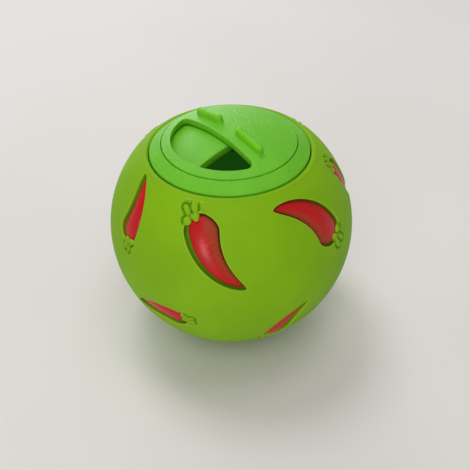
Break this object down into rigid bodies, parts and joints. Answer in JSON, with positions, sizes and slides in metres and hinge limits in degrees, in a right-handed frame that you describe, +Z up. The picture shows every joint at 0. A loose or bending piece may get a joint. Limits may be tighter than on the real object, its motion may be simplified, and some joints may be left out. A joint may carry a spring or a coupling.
{
  "type": "treat dispensing ball",
  "caption": "Hollow soft rubber treat ball with inset red chilli peppers, a screw-in round lid and a turning dial that opens a half-moon port for treats.",
  "frame": {"origin": "middle of the small flat that the ball stands on", "axes": "+Z up through the middle of the lid, -Y towards the side that the picture shows, +X to its right"},
  "size_m": [0.076, 0.076, 0.0742],
  "materials": {
    "rubber_lime": "matt, soft to the touch",
    "pepper_red": "glossy soft vinyl",
    "plastic_green": "fine satin grain",
    "steel": "plain"
  },
  "bodies": {
    "ball": {"ball_shell": "rubber_lime", "neck_ring": "plastic_green", "pepper_inlay_1": "pepper_red", "pepper_inlay_2": "pepper_red", "pepper_inlay_3": "pepper_red", "pepper_inlay_4": "pepper_red", "pepper_inlay_5": "pepper_red", "pepper_inlay_6": "pepper_red", "pepper_inlay_7": "pepper_red", "pepper_inlay_8": "pepper_red", "pepper_inlay_9": "pepper_red", "pepper_inlay_10": "pepper_red", "pepper_inlay_11": "pepper_red", "pepper_inlay_12": "pepper_red", "pepper_inlay_13": "pepper_red"},
    "lid": {"lid_base": "plastic_green"},
    "dial": {"dial": "plastic_green", "pivot_washer": "steel", "pivot_screw": "steel"}
  },
  "joints": [
    {"name": "lid_lift", "type": "slide", "parent": "ball", "child": "lid", "axis": [0, 0, 1], "range_m": [0, 0.025]},
    {"name": "dial_turn", "type": "hinge", "parent": "lid", "child": "dial", "pos_m": [0, 0, 0.065], "axis": [0, 0, 1], "continuous": true}
  ]
}
